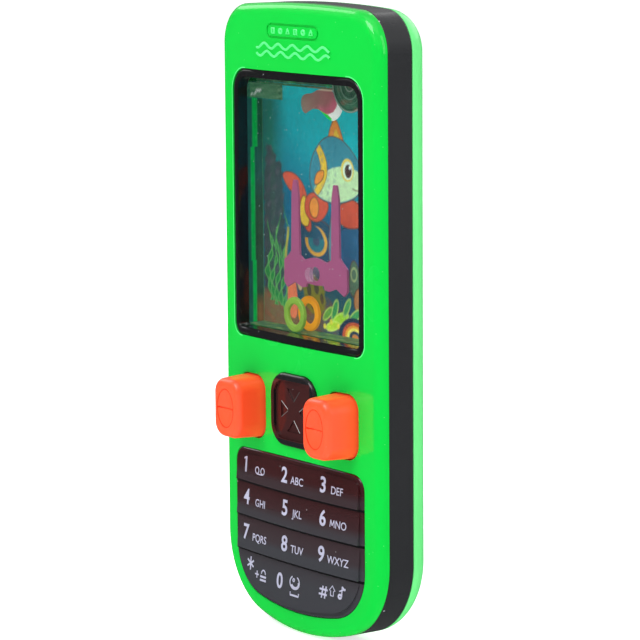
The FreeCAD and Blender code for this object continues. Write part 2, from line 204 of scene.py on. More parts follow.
def makeWearGroup():
    # dust specks, hairline scratches, broad blotches and a fine grain, all from object coordinates in metres
    group = bpy.data.node_groups.new("surfaceWear", "ShaderNodeTree")
    for name, default in (("Speck Size", 900.0), ("Scratch Scale", 60.0), ("Blotch Scale", 45.0)):
        socket = group.interface.new_socket(name, in_out="INPUT", socket_type="NodeSocketFloat")
        socket.default_value = default
    for name in ("Specks", "Scratches", "Blotches", "Grain"):
        group.interface.new_socket(name, in_out="OUTPUT", socket_type="NodeSocketFloat")
    given = addNode(group, "NodeGroupInput", (-900, 0)).outputs
    place = objectPlace(group, (-900, -300))
    cells = addNode(group, "ShaderNodeTexVoronoi", (-500, 300), {"Vector": place, "Scale": given["Speck Size"]})
    dots = rangeNode(group, (-250, 300), cells.outputs["Distance"], 0.11, 0.05, smooth=True)
    lot = addNode(group, "ShaderNodeSeparateColor", (-250, 480), {"Color": cells.outputs["Color"]})
    few = mathNode(group, (-50, 480), "GREATER_THAN", lot.outputs["Red"], 0.86)
    stretch = addNode(group, "ShaderNodeMapping", (-700, 50), {
        "Vector": place, "Rotation": (0.5, 0.3, 0.2), "Scale": (0.1, 0.14, 3.0)}, vector_type="TEXTURE")
    lines = noiseNode(group, (-500, 50), stretch.outputs["Vector"], given["Scratch Scale"], 3.0, 0.6)
    addNode(group, "NodeGroupOutput", (700, 0), {
        "Specks": mathNode(group, (150, 350), "MULTIPLY", dots, few),
        "Scratches": rangeNode(group, (-250, 50), lines, 0.74, 0.80, smooth=True),
        "Blotches": noiseNode(group, (-500, -200), place, given["Blotch Scale"], 4.0, 0.55),
        "Grain": noiseNode(group, (-500, -450), place, 2600.0, 2.0)})
    return group


wearGroup = makeWearGroup()


def wearOutputs(tree, inputs=None):
    return addNode(tree, "ShaderNodeGroup", (-900, 0), inputs, node_tree=wearGroup).outputs


def bumpNode(tree, where, height, strength, distance, normal=None):
    inputs = {"Height": height, "Strength": strength, "Distance": distance}
    if normal is not None:
        inputs["Normal"] = normal
    return addNode(tree, "ShaderNodeBump", where, inputs).outputs["Normal"]


def plastic(name, colour, deep=None, roughness=0.25, blotchiness=0.25, speckColour=(1, 1, 1), specks=0.15,
            scratches=0.15, scratchRough=0.25, gloss=0.5, grain=0.02, ripple=0.0, rippleScale=35.0, ior=1.49,
            coat=0.0, speckSize=900.0, scratchScale=60.0, blotchScale=45.0, subsurface=0.0, glow=0.0,
            glossTint=(1, 1, 1)):
    # moulded plastic: colour that drifts between two tones, dust, hairlines and a moulded grain
    material, tree, shader = blankMaterial(name)
    deep = deep or tuple(0.72 * c for c in colour)
    wear = wearOutputs(tree, {"Speck Size": speckSize, "Scratch Scale": scratchScale,
                              "Blotch Scale": blotchScale})
    drift = rangeNode(tree, (-650, 200), wear["Blotches"], 0.35, 0.65, blotchiness, 0.0)
    body = mixNode(tree, (-430, 250), drift, colour, deep)
    dust = mathNode(tree, (-430, 50), "MULTIPLY", wear["Specks"], specks)
    dusty = mixNode(tree, (-200, 250), dust, body, speckColour)
    hairlines = mathNode(tree, (-430, -120), "MULTIPLY", wear["Scratches"], scratches)
    marked = mixNode(tree, (0, 250), hairlines, dusty, speckColour)
    scratched = mathNode(tree, (-200, -120), "MULTIPLY_ADD", wear["Scratches"], scratchRough, roughness)
    uneven = mathNode(tree, (0, -120), "MULTIPLY_ADD", wear["Blotches"], 0.12, scratched)
    height = mathNode(tree, (-430, -320), "MULTIPLY_ADD", wear["Scratches"], -1.5, wear["Grain"])
    normal = bumpNode(tree, (-200, -320), height, grain, 0.0002)
    if ripple > 0:
        waves = noiseNode(tree, (-650, -600), objectPlace(tree, (-900, -600)), rippleScale, 1.0)
        normal = bumpNode(tree, (0, -420), waves, ripple, 0.002, normal)
    fill(tree, shader, {"Base Color": marked, "Roughness": uneven, "Normal": normal, "IOR": ior,
                        "Coat Weight": coat, "Coat Roughness": 0.05, "Specular Tint": (*glossTint, 1),
                        "Specular IOR Level": gloss})
    # glow: the colour shines by itself, painted light
    if glow > 0:
        fill(tree, shader, {"Emission Color": marked, "Emission Strength": glow})
    if subsurface > 0:
        fill(tree, shader, {"Subsurface Weight": subsurface, "Subsurface Scale": 0.002,
                            "Subsurface Radius": (1.0, 1.0, 1.0)})
    return material


def clearShader(name, tint, ior):
    # see-through solid that lets shadow rays pass, with faint haze from its scratches
    material, tree, shader = blankMaterial(name)
    haze = mathNode(tree, (-450, 0), "MULTIPLY", wearOutputs(tree)["Scratches"], 0.25)
    fill(tree, shader, {"Base Color": (*tint, 1), "Roughness": haze, "Transmission Weight": 1.0,
                        "IOR": ior, "Metallic": 0.0})
    shadow = addNode(tree, "ShaderNodeLightPath", (-200, 400)).outputs["Is Shadow Ray"]
    through = addNode(tree, "ShaderNodeBsdfTransparent", (0, -200), {"Color": (*tint, 1)}).outputs["BSDF"]
    both = addNode(tree, "ShaderNodeMixShader", (250, 200), {
        "Fac": shadow, 1: shader.outputs["BSDF"], 2: through})
    fill(tree, tree.nodes["Material Output"], {"Surface": both.outputs["Shader"]})
    return material


def filmShader(name, tint, alpha):
    # thin clear wall: mostly open, with a faint blotchy tint and its own gloss
    material, tree, shader = blankMaterial(name)
    amount = mathNode(tree, (-300, -100), "MULTIPLY_ADD", wearOutputs(tree)["Blotches"], alpha, alpha)
    fill(tree, shader, {"Base Color": (*tint, 1), "Alpha": amount, "Roughness": 0.08,
                        "Specular IOR Level": 0.2})
    return material


def zincPlate(name):
    # metal whose tone and gloss vary with fine turned marks
    material, tree, shader = blankMaterial(name)
    wear = wearOutputs(tree)
    worn = rangeNode(tree, (-600, 100), wear["Blotches"], 0.3, 0.7)
    fill(tree, shader, {"Metallic": 1.0,
                        "Base Color": mixNode(tree, (-400, 100), worn, (0.42, 0.42, 0.44), (0.72, 0.72, 0.74)),
                        "Roughness": mathNode(tree, (-400, -150), "MULTIPLY_ADD", wear["Grain"], 0.3, 0.2)})
    return material


# materials for the moulded parts

caseGreen = plastic("caseGreen", (0.001, 0.595, 0.050), deep=(0.006, 0.535, 0.042), roughness=0.2,
                    blotchiness=0.6, specks=0.12, scratches=0.03, scratchRough=0.12, grain=0.04, ripple=0.10,
                    rippleScale=26.0, blotchScale=26.0, glossTint=(0.2, 1.0, 0.6), gloss=0.1, coat=0.7)
coverGreen = plastic("coverGreen", (0.15, 0.80, 0.23), deep=(0.10, 0.74, 0.17), roughness=0.24, blotchiness=0.4,
                     specks=0.12, scratches=0.03, scratchRough=0.12, grain=0.04, ripple=0.1, blotchScale=30.0)
bandBlack = plastic("bandBlack", (0.019, 0.020, 0.022), deep=(0.028, 0.028, 0.031), roughness=0.18,
                    speckColour=(0.6, 0.62, 0.65), specks=0.9, scratches=0.2, grain=0.08, ripple=0.25,
                    rippleScale=60.0, speckSize=500.0, scratchScale=90.0)
bezelBlack = plastic("bezelBlack", (0.006, 0.006, 0.007), roughness=0.03, speckColour=(0.5, 0.5, 0.52),
                     specks=0.7, scratches=0.1, grain=0.04, ripple=0.1, speckSize=700.0)
# the buttons, guides, rings and stand below glow by themselves: painted light that brightens them where shade
# falls in the button wells and the tank
buttonOrange = plastic("buttonOrange", (1.0, 0.085, 0.022), deep=(1.0, 0.06, 0.014), roughness=0.24,
                       blotchiness=0.4, specks=0.1, scratches=0.02, grain=0.05, ripple=0.1, rippleScale=120.0,
                       subsurface=0.15, glow=0.15)
guideGreen = plastic("guideGreen", (0.02, 0.62, 0.05), roughness=0.3, glow=0.25)
limePlastic = plastic("limePlastic", (0.26, 0.43, 0.05), roughness=0.3, specks=0.1, subsurface=0.1, glow=0.35)
orangePlastic = plastic("orangePlastic", (0.95, 0.34, 0.010), roughness=0.3, specks=0.1, subsurface=0.1,
                        glow=0.45)
magentaPlastic = plastic("magentaPlastic", (0.40, 0.085, 0.21), deep=(0.36, 0.08, 0.19), roughness=0.35,
                         specks=0.2, speckSize=500.0, glow=0.4)
pumpWhite = plastic("pumpWhite", (0.75, 0.75, 0.72), roughness=0.4)
softRubber = plastic("softRubber", (0.62, 0.60, 0.55), roughness=0.55, grain=0.2)
cardPaper = plastic("cardPaper", (0.80, 0.80, 0.76), roughness=0.7, grain=0.3)
legendInk = plastic("legendInk", (0.46, 0.46, 0.60), deep=(0.34, 0.34, 0.46), roughness=0.35, blotchiness=0.5,
                    specks=0.3, scratches=0.1, blotchScale=300.0)
# lighter green standing in for the highlights on the raised marks and the window opening's rounded edge: painted
# highlight
highlightGreen = plastic("highlightGreen", (0.10, 0.95, 0.25), roughness=0.15, specks=0.05)
lensClear = clearShader("lensClear", (0.97, 1.0, 0.985), 1.45)
waterClear = clearShader("waterClear", (0.90, 0.985, 0.98), 1.33)
tankClear = filmShader("tankClear", (0.02, 0.24, 0.20), 0.035)
postClear = filmShader("postClear", (0.62, 0.38, 0.52), 0.14)
screwSteel = zincPlate("screwSteel")


def zonedMaterial(name, s, makeMask):
    # dark glossy moulding in two tones, mixed by a mask that is built from the object's own coordinates; on the
    # keypad the second tone is painted reflection
    material = plastic(name, s["first"], deep=s["firstDeep"], roughness=0.04, ior=s["ior"], specks=0.5,
                       speckColour=(0.6, 0.6, 0.62), scratches=0.05, grain=0.03, ripple=0.05, speckSize=600.0)
    tree = material.node_tree
    colour = tree.nodes["Principled BSDF"].inputs["Base Color"]
    place = addNode(tree, "ShaderNodeSeparateXYZ", (-900, 700), {"Vector": objectPlace(tree, (-1100, 700))})
    share, dark = makeMask(tree, place.outputs, s)
    toned = mixNode(tree, (250, 500), share, colour.links[0].from_socket, s["second"])
    # painted shade: near black where the mask's second output is one, in the keypad's gaps between rows
    if dark is not None:
        toned = mixNode(tree, (450, 500), dark, toned, (0.003, 0.003, 0.004))
    tree.links.new(toned, colour)
    return material


def rowReflectionAndShadeMask(tree, place, s):
    # painted reflection: grey towards the panel's foot and along each row's lower part, where the rows mirror the
    # pale ground; painted shade: dark in the gaps between rows, under each row's proud lower edge
    z = place["Z"]
    panel = rangeNode(tree, (-500, 800), z, s["panelTop"] * mm, s["panelFoot"] * mm)
    rows = mathNode(tree, (-700, 620), "MULTIPLY_ADD", z, -1.0 / (s["pitch"] * mm), s["rowTop"] / s["pitch"])
    within = mathNode(tree, (-500, 620), "FRACT", rows)
    lower = rangeNode(tree, (-300, 620), within, 0.45, 0.8, 0.0, s["rowReflectionShare"], smooth=True)
    paintedReflection = mathNode(tree, (-100, 700), "ADD", panel, lower, use_clamp=True)
    gap = rangeNode(tree, (-300, 420), within, s["gapShadeFrom"], s["gapShadeFrom"] + s["gapShadeBlur"])
    above = mathNode(tree, (-300, 250), "GREATER_THAN", z, s["lastGap"] * mm)
    below = mathNode(tree, (-300, 100), "LESS_THAN", z, s["firstGap"] * mm)
    between = mathNode(tree, (-100, 200), "MULTIPLY", above, below)
    return paintedReflection, mathNode(tree, (80, 350), "MULTIPLY", gap, between)


def rimMask(tree, place, s):
    # one outside a square about the pad's middle, nought inside it
    sizes = []
    for axis, middle, y in (("X", 0.0, 800), ("Z", s["middleZ"], 620)):
        away = mathNode(tree, (-700, y), "SUBTRACT", place[axis], middle * mm)
        sizes.append(mathNode(tree, (-500, y), "ABSOLUTE", away))
    most = mathNode(tree, (-300, 700), "MAXIMUM", *sizes)
    return rangeNode(tree, (-100, 700), most, s["half"] * mm, (s["half"] + s["blur"]) * mm), None


# the keypad: dark brown, with a grey painted reflection towards its foot and on each row's lower part, and
# painted shade in the gaps between rows
keyBrown = zonedMaterial("keyBrown", {
    "first": (0.036, 0.008, 0.009), "firstDeep": (0.026, 0.007, 0.008), "second": (0.040, 0.041, 0.048),
    "panelTop": -38.0, "panelFoot": -58.0, "pitch": 7.85, "rowTop": -30.6, "rowReflectionShare": 0.5, "ior": 1.49,
    "gapShadeFrom": 0.918, "gapShadeBlur": 0.012, "firstGap": -36.0, "lastGap": -56.0}, rowReflectionAndShadeMask)
padBlack = zonedMaterial("padBlack", {
    "first": (0.044, 0.012, 0.012), "firstDeep": (0.032, 0.009, 0.009), "second": (0.010, 0.010, 0.011),
    "middleZ": -19.5, "half": 6.6, "blur": 0.1, "ior": 1.40}, rimMask)

nodeMaterials = {
    "front_shell": caseGreen, "mating_skirt": caseGreen, "screw_bosses": caseGreen,
    "rear_cover": coverGreen, "side_band": bandBlack, "window_bezel": bezelBlack, "rear_screws": screwSteel,
    "keypad_panel": keyBrown, "navigation_pad": padBlack, "lime_ring": limePlastic,
    "orange_ring": orangePlastic, "spike_stand": magentaPlastic, "stand_post": postClear,
    "tank_window": lensClear, "tank_body": tankClear, "filler_plug": postClear, "picture_card": cardPaper,
    "pump_manifold": pumpWhite,
}
for side in ("left", "right"):
    for part, material in (("button_guide", guideGreen), ("pump_button", buttonOrange),
                           ("pump_bellows", softRubber), ("jet_nozzle", postClear)):
        nodeMaterials[side + "_" + part] = material
for nodeName, material in nodeMaterials.items():
    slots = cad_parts[nodeName].data.materials
    slots.clear()
    slots.append(material)
print("moulded parts painted:", len(nodeMaterials))


# helpers for new pieces

def tone(*rgb):
    # a display colour of 0 to 255 as linear light
    return tuple((c / 255.0) ** 2.2 for c in rgb)


def finishPiece(name, verts, faces, material, body="case", colours=None, smooth=True):
    # verts in millimetres
    mesh = bpy.data.meshes.new(name)
    mesh.from_pydata((np.asarray(verts, float) * mm).tolist(), [], np.asarray(faces, object).tolist())
    mesh.update()
    mesh.polygons.foreach_set("use_smooth", np.full(len(mesh.polygons), smooth))
    if colours is not None:
        paint = mesh.color_attributes.new("paint", "FLOAT_COLOR", "POINT")
        paint.data.foreach_set("color", np.c_[colours, np.ones(len(colours))].astype(np.float32).ravel())
    mesh.materials.append(material)
    piece = bpy.data.objects.new(name, mesh)
    bpy.context.scene.collection.objects.link(piece)
    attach(piece, body)


def gridFaces(rows, columns, flip=False):
    # quads of a rows by columns sheet of points
    i = np.arange(rows * columns).reshape(rows, columns)
    quads = np.stack([i[:-1, :-1], i[:-1, 1:], i[1:, 1:], i[1:, :-1]], -1).reshape(-1, 4)
    return quads[:, ::-1] if flip else quads


faceSettings = {"bow": 290.0, "crest": -16.9}      # the bowed front: radius of its cylinder, y of its crest


def crownY(x, depth=0.0):
    # y of the bowed front at x, or of the surface that lies at a depth inside it
    bow = faceSettings["bow"]
    return faceSettings["crest"] + bow - np.sqrt((bow - depth) ** 2 - x ** 2)


def sideways(p, closed):
    # the unit vector across a path of points (x, z), at each of its points
    ahead = np.roll(p, -1, 0) - np.roll(p, 1, 0) if closed else np.gradient(p, axis=0)
    ahead /= np.linalg.norm(ahead, axis=1)[:, None]
    return np.c_[ahead[:, 1], -ahead[:, 0]]


def carryProfile(p, across, lift, surface, closed=False):
    # a profile carried along points (x, z), each of its points across from the path and lifted off the surface
    xz = p[:, None, :] + across[None, :, None] * sideways(p, closed)[:, None, :]
    verts = np.stack([xz[..., 0], surface(xz[..., 0], xz[..., 1]) - lift[None, :], xz[..., 1]], -1)
    if closed:
        verts = np.concatenate([verts, verts[:1]])
    return verts.reshape(-1, 3), gridFaces(len(verts), len(across), flip=True)


def strokeMesh(points, width, height, surface, closed=False):
    # a raised line: a low trapezoid whose foot is just inside the surface
    across = np.array([-1.0, -0.55, 0.55, 1.0]) * width / 2
    lift = np.array([-0.05, height, height, -0.05])
    return carryProfile(np.asarray(points, float), across, lift, surface, closed)


def roundedLoop(x0, x1, z0, z1, radius0, radius1, count=14):
    # a rounded rectangle: arcs at four corners, lower pair and upper pair with their own radii
    corners = ((x1, z0, radius0, -90), (x1, z1, radius1, 0), (x0, z1, radius1, 90), (x0, z0, radius0, 180))
    out = []
    for x, z, r, start in corners:
        a = np.radians(start + np.linspace(0, 90, count))
        cx = x - math.copysign(r, x - (x0 + x1) / 2)
        cz = z - math.copysign(r, z - (z0 + z1) / 2)
        out.append(np.c_[cx + r * np.cos(a), cz + r * np.sin(a)])
    return np.concatenate(out)


def paintMaterial(name, roughness, glow, grainScale):
    # colours from the paint attribute, mottled by fine noise; glow is the share that shines by itself
    material, tree, shader = blankMaterial(name)
    ink = addNode(tree, "ShaderNodeAttribute", (-900, 200), attribute_name="paint").outputs["Color"]
    noise = noiseNode(tree, (-700, -100), objectPlace(tree, (-900, -100)), grainScale, 3.0, 0.6)
    level = rangeNode(tree, (-500, -100), noise, 0.3, 0.7, 0.86, 1.1)
    mottled = addNode(tree, "ShaderNodeVectorMath", (-250, 200), {0: ink, "Scale": level}, operation="SCALE")
    colour = mottled.outputs["Vector"]
    fill(tree, shader, {"Base Color": colour, "Emission Color": colour, "Emission Strength": glow,
                        "Roughness": roughness, "Specular IOR Level": 0.1})
    return material


# painting tools: masks over arrays x and z, all in millimetres

def softMask(distance, blur=0.12):
    return np.clip(0.5 - distance / (2 * blur), 0, 1)


def ovalMask(x, z, cx, cz, rx, rz, turn=0.0, blur=0.12):
    # inside an ellipse turned by the given degrees
    a = math.radians(turn)
    u = (x - cx) * math.cos(a) + (z - cz) * math.sin(a)
    v = -(x - cx) * math.sin(a) + (z - cz) * math.cos(a)
    return softMask((np.hypot(u / rx, v / rz) - 1) * min(rx, rz), blur)


def shapeDistance(x, z, points):
    # signed distance to a polygon, negative inside
    p = np.asarray(points, float)
    best = np.full(x.shape, 1e9)
    inside = np.zeros(x.shape, bool)
    for (ax, az), (bx, bz) in zip(p, np.roll(p, -1, 0)):
        ex, ez = bx - ax, bz - az
        t = np.clip(((x - ax) * ex + (z - az) * ez) / (ex * ex + ez * ez), 0, 1)
        best = np.minimum(best, np.hypot(x - ax - t * ex, z - az - t * ez))
        if az != bz:
            crossing = ((az > z) != (bz > z)) & (x < ax + (z - az) * ex / ez)
            inside ^= crossing
    return np.where(inside, -best, best)


def curvedShape(points, count=8):
    # a smooth closed curve through the points: each corner is rounded by a quadratic arc
    p = np.asarray(points, float)
    before, after = (p + np.roll(p, 1, 0)) / 2, (p + np.roll(p, -1, 0)) / 2
    t = np.linspace(0, 1, count, endpoint=False)[:, None, None]
    curve = (1 - t) ** 2 * before + 2 * t * (1 - t) * p + t ** 2 * after
    return curve.transpose(1, 0, 2).reshape(-1, 2)


def lay(colours, mask, colour):
    # a display colour laid over the painting where the mask is one
    return colours + mask[..., None] * (np.asarray(tone(*colour)) - colours)


def layShapes(colours, x, z, shapes, lineWidth=0.28):
    # filled curved shapes, each with an inked outline if its line colour is given
    for points, colour, line in shapes:
        d = shapeDistance(x, z, curvedShape(points))
        colours = lay(colours, softMask(d), colour)
        if line is not None:
            colours = lay(colours, 0.8 * softMask(np.abs(d) - lineWidth / 2, 0.1), line)
    return colours


def layOvals(colours, x, z, ovals, turn=0.0, share=1.0):
    # filled ovals, each given by its middle, half sizes and colour
    for *place, colour in ovals:
        colours = lay(colours, share * ovalMask(x, z, *place, turn), colour)
    return colours


def swirl(x, z, seed, size):
    # smooth mottling between -1 and 1: five crossed sine waves with seeded directions
    rng = np.random.default_rng(seed)
    total = np.zeros_like(x)
    for _ in range(5):
        a, phase, stretch = rng.uniform(0, 2 * np.pi), rng.uniform(0, 2 * np.pi), rng.uniform(0.6, 1.6)
        total += np.sin((x * np.cos(a) + z * np.sin(a)) * 2 * np.pi / (size * stretch) + phase)
    return total / 3.0


# water in the tank

waterSettings = {"x": 24.77, "front": -12.07, "rear": -2.56, "foot": -3.17, "top": 51.17}


def makeWater(s):
    # a closed box of water that fills the tank up to its ceiling
    xs, ys, zs = (-s["x"], s["x"]), (s["front"], s["rear"]), (s["foot"], s["top"])
    verts = [(x, y, z) for x in xs for y in ys for z in zs]
    faces = [(0, 1, 3, 2), (4, 6, 7, 5), (0, 4, 5, 1), (2, 3, 7, 6), (0, 2, 6, 4), (1, 5, 7, 3)]
    finishPiece("tankWater", verts, faces, waterClear, smooth=False)


makeWater(waterSettings)
print("water made")


# picture card

cardSettings = {"x": 24.76, "y": -2.54, "foot": -3.9, "top": 51.3, "cell": 0.21}


def paintCard(x, z):
    # an underwater scene: graded water, rocks, weeds, one fish, corals and a shell
    ink, red, orange, yellow = (92, 52, 40), (204, 74, 54), (226, 132, 52), (228, 178, 54)
    deep, teal = np.array(tone(0, 84, 118)), np.array(tone(0, 178, 186))
    t = np.clip((z - 26) / 24 + 0.35 * (x + 12) / 24, 0, 1)[..., None]
    c = deep * (1 - t) + teal * t
    c = lay(c, 0.85 * np.clip((-15.0 - x) / 6.5, 0, 1) * np.clip((z - 5) / 25, 0.3, 1), (10, 84, 66))
    c = lay(c, 0.9 * np.clip((23 - z) / 12, 0, 1), (44, 84, 100))
    c = c * (1 + 0.05 * swirl(x, z, 3, 9.0))[..., None]
    # rock columns with ragged edges
    left = shapeDistance(x, z, [(-24.5, 1), (-24.2, 29), (-22.9, 37), (-20.6, 36.2), (-19.6, 33.6),
                                (-18.2, 33.8), (-17.1, 31), (-16.4, 18), (-16.8, 1)]) + 0.35 * swirl(x, z, 5, 2.2)
    right = shapeDistance(x, z, [(14, 4), (13.6, 24), (15.5, 29), (18, 26), (20, 31), (23.5, 27), (23.5, 2)])
    c = lay(c, softMask(left, 0.35), (56, 58, 66))
    c = lay(c, 0.45 * softMask(left, 0.3) * np.clip(swirl(x, z, 8, 3.0), 0, 1), (88, 70, 84))
    c = lay(c, 0.9 * softMask(right + 0.4 * swirl(x, z, 9, 2.5), 0.4), (58, 66, 78))
    # brown sea bed
    bed = softMask(z - (2.6 + 1.6 * np.sin(x * 0.28 + 2.2) + 0.5 * swirl(x, z, 11, 4.0)), 0.8)
    c = lay(c, bed * np.clip((4 - x) / 14, 0.35, 1), (116, 84, 60))
    c = lay(c, 0.6 * bed * np.clip(swirl(x, z, 12, 2.6), 0, 1), (140, 72, 52))
    # weeds: wavy leaves with light edges, and one yellow stem
    weeds = [(-22.2, 2, 20, 1.3, 0.0), (-20.6, 1, 16.5, 1.1, 1.2), (-18.9, 2, 22, 1.0, 2.1),
             (-17.3, 1, 15, 1.0, 3.0), (-16.0, 0, 24, 0.7, 4.2), (15.0, 1, 17, 1.1, 0.8),
             (17.6, 0, 22, 1.2, 2.6), (20.4, 1, 15, 1.0, 5.0)]
    for place, foot, top, width, phase in weeds:
        up = np.clip((z - foot) / (top - foot), 0, 1)
        middle = place + 0.9 * np.sin(z * 0.55 + phase)
        d = np.abs(x - middle) - width * (1 - up ** 2) * (0.75 + 0.35 * np.sin(z * 1.7 + phase))
        d = np.where((z < foot) | (z > top), 9, d)
        c = lay(c, softMask(d, 0.2), (40, 112, 52))
        c = lay(c, 0.75 * softMask(np.abs(d + 0.25) - 0.12, 0.15), (120, 176, 96))
    stem = softMask(np.abs(x + 15.6 - 0.5 * np.sin(z * 0.4)) - 0.35, 0.25)
    c = lay(c, 0.9 * stem * (z > 0) * (z < 19), (188, 160, 58))
    # blue boulder with a yellow-edged arc behind the spikes
    boulder = [(-12, 12), (-12, 20), (-6, 22), (1, 21), (2.6, 15), (-2, 11)]
    c = layShapes(c, x, z, [(boulder, (34, 66, 92), ink)])
    c = layOvals(c, x, z, [(-4.6, 16.8, r * 1.15, r * 0.92, colour) for r, colour in
                           ((3.6, (212, 150, 60)), (2.7, (40, 104, 116)), (1.1, (60, 70, 96)))], -8)
    c = lay(c, ovalMask(x, z, -5.6, 18.0, 3.4, 2.2, -8) * (z > 17.4), (36, 72, 98))
    body = [(-7.2, 31.6), (-5.6, 36.6), (-0.8, 40.6), (5.2, 40.2), (10.6, 36.2), (13.4, 31.8), (11.0, 27.8),
            (5.0, 25.8), (-1.0, 25.6), (-6.0, 27.6)]
    c = layShapes(c, x, z, [
        # a pale pillar and a dark block
        ([(0.6, 11), (-0.2, 16), (1.0, 24), (3.0, 24), (3.4, 17), (3.0, 11)], (84, 128, 140), ink),
        ([(3.6, 11.5), (3.2, 20.8), (12.5, 21.5), (14, 14), (9, 9.5)], (42, 84, 122), (30, 50, 76)),
        # the fish: tail and its light patch, belly fins, back fin, body
        ([(-17.6, 30.5), (-15.8, 31.6), (-12.0, 31.2), (-8.6, 28.6), (-7.2, 24), (-6.0, 19.0), (-8.0, 18.4),
          (-10.2, 22.0), (-12.4, 27.0), (-14.4, 27.2)], red, ink),
        ([(-10.4, 20.0), (-10.8, 24.4), (-9.0, 27.4), (-7.4, 24), (-7.0, 19.6)], yellow, ink),
        ([(-4.6, 28.0), (-8.6, 26.6), (-9.0, 22.6), (-5.6, 20.8), (-2.0, 21.6), (1.0, 25.5)], red, ink),
        ([(-4.8, 27.0), (-7.2, 25.4), (-6.8, 22.4), (-4.4, 21.6), (-3.2, 24.6)], orange, ink),
        ([(4.0, 20.5), (3.4, 25.5), (8.5, 27.5), (12.6, 25.6), (12.8, 21.0)], red, ink),
        ([(-0.6, 37.6), (0.4, 41.6), (2.6, 45.2), (5.4, 40.4), (6.8, 36.2), (4.0, 36.4)], orange, ink),
        ([(1.6, 38.0), (2.6, 43.2), (5.2, 38.6), (5.6, 36.6)], yellow, None),
        (body, (62, 128, 148), ink)])
    inBody = softMask(shapeDistance(x, z, curvedShape(body)) + 0.3)
    band = np.abs(x + 1.6 + 0.10 * (z - 33) ** 2) - 1.25
    scales = np.sin(x * 2.6 + 1.2 * np.sin(z * 2.2)) * np.sin(z * 2.2)
    c = lay(c, inBody * ovalMask(x, z, 5.0, 27.6, 10.5, 6.4, 6), (190, 212, 164))
    c = lay(c, inBody * softMask(band), yellow)
    c = lay(c, 0.7 * inBody * softMask(np.abs(band) - 0.14, 0.1), ink)
    c = lay(c, 0.35 * inBody * np.clip(scales, 0, 1) * (x < 3), (36, 92, 120))
    c = layShapes(c, x, z, [([(-2.0, 30.4), (-5.4, 28.8), (-4.6, 32.2), (-1.2, 33.0)], orange, ink)])
    # eye and mouth
    c = layOvals(c, x, z, [(7.0, 33.4, 2.3, 2.5, (228, 196, 84)), (7.1, 33.3, 1.75, 2.0, (218, 226, 204)),
                           (7.3, 33.2, 1.25, 1.5, (70, 34, 34)), (7.9, 34.0, 0.38, 0.42, (240, 244, 240))])
    mouth = softMask(np.abs(z - 29.2 - 0.12 * (x - 10.4) ** 2) - 0.15, 0.1)
    c = lay(c, 0.8 * mouth * (x > 8.8) * (x < 12.0), ink)
    # corals, leaves and stones along the bottom
    coral = shapeDistance(x, z, curvedShape([(-9.4, 1), (-9.6, 8.6), (-6.6, 9.4), (-1.6, 8.2), (-1.0, 0)]))
    c = lay(c, softMask(coral + 0.3 * swirl(x, z, 21, 1.6), 0.3), (128, 122, 44))
    holes = ((-7.4, 5.8, 0.8, 1.6), (-4.6, 6.4, 0.9, 1.4), (-2.6, 4.2, 0.7, 1.2), (-5.8, 2.4, 0.8, 0.9))
    c = layOvals(c, x, z, [(*hole, (58, 50, 52)) for hole in holes], 10, 0.8)
    c = layShapes(c, x, z, [
        ([(-15.2, -1), (-15.6, 6.5), (-13.0, 9.0), (-11.6, 4.0), (-11.8, -1.5)], (222, 108, 76), None),
        ([(-12.2, 6.4), (-11.0, 9.6), (-9.4, 7.2), (-10.4, 4.6)], (206, 180, 138), ink),
        ([(7.4, 6.0), (7.6, 12.6), (9.4, 14.4), (11.6, 11.0), (11.4, 5.6)], (84, 108, 86), ink)])
    c = lay(c, 0.8 * (np.abs(np.hypot(x - 9.2, (z - 10.8) / 1.4) - 1) < 0.2), (160, 172, 116))
    stone = [(9.4, 2.6), (9.0, 6.2), (11.0, 8.4), (14.0, 7.0), (13.6, 2.4)]
    c = layShapes(c, x, z, [(stone, (186, 118, 74), ink)])
    leaves = ((-0.4, 1.2, 2.3, 40, (96, 156, 66)), (2.2, 2.2, 2.6, 70, (62, 150, 84)),
              (4.4, 0.6, 3.0, 20, (164, 208, 52)), (6.6, 3.2, 2.4, 60, (84, 164, 92)),
              (1.4, -1.4, 2.6, 15, (186, 206, 56)), (9.6, 1.6, 2.7, 35, (70, 158, 90)),
              (12.6, 0.8, 2.8, 110, (120, 180, 60)), (17.0, 0.0, 3.2, 60, (150, 190, 60)))
    for px, pz, size, turn, colour in leaves:
        leaf = ovalMask(x, z, px, pz, size, size * 0.42, turn)
        inner = ovalMask(x, z, px, pz, size * 0.86, size * 0.30, turn)
        c = lay(c, leaf, colour)
        c = lay(c, 0.7 * (leaf - inner), (212, 226, 110))
    c = layOvals(c, x, z, [(px, -1.8 + 1.3 * math.sin(px * 2.0), 0.5, 0.6, (226, 206, 70))
                           for px in (-1.6, 0.8, 3.4, 5.6, 7.4)])
    c = layOvals(c, x, z, [(11.6, -4.4, 4.2, 2.2, (204, 112, 44))])
    # a shell of coloured rings
    c = layOvals(c, x, z, [(9.6, -3.2, 6.0 * k, 4.4 * k, colour) for k, colour in (
        (1.0, (34, 44, 74)), (0.78, (200, 76, 48)), (0.62, (232, 150, 50)), (0.5, (236, 214, 90)),
        (0.36, (34, 44, 74)), (0.2, (204, 120, 60)))], -6)
    return np.clip(c, 0.002, 1)


def makeCard(s):
    # a flat printed sheet: a regular grid whose points carry the painting
    xs = np.linspace(-s["x"], s["x"], int(2 * s["x"] / s["cell"]))
    zs = np.linspace(s["foot"], s["top"], int((s["top"] - s["foot"]) / s["cell"]))
    x, z = np.meshgrid(xs, zs)
    verts = np.stack([x, np.full_like(x, s["y"]), z], -1).reshape(-1, 3)
    # its ink glows at 0.75 of its colour: painted light that brightens the card behind the water
    finishPiece("cardPrint", verts, gridFaces(len(zs), len(xs)), paintMaterial("cardInk", 0.6, 0.75, 900.0),
                colours=paintCard(x, z).reshape(-1, 3))


makeCard(cardSettings)
print("card printed")
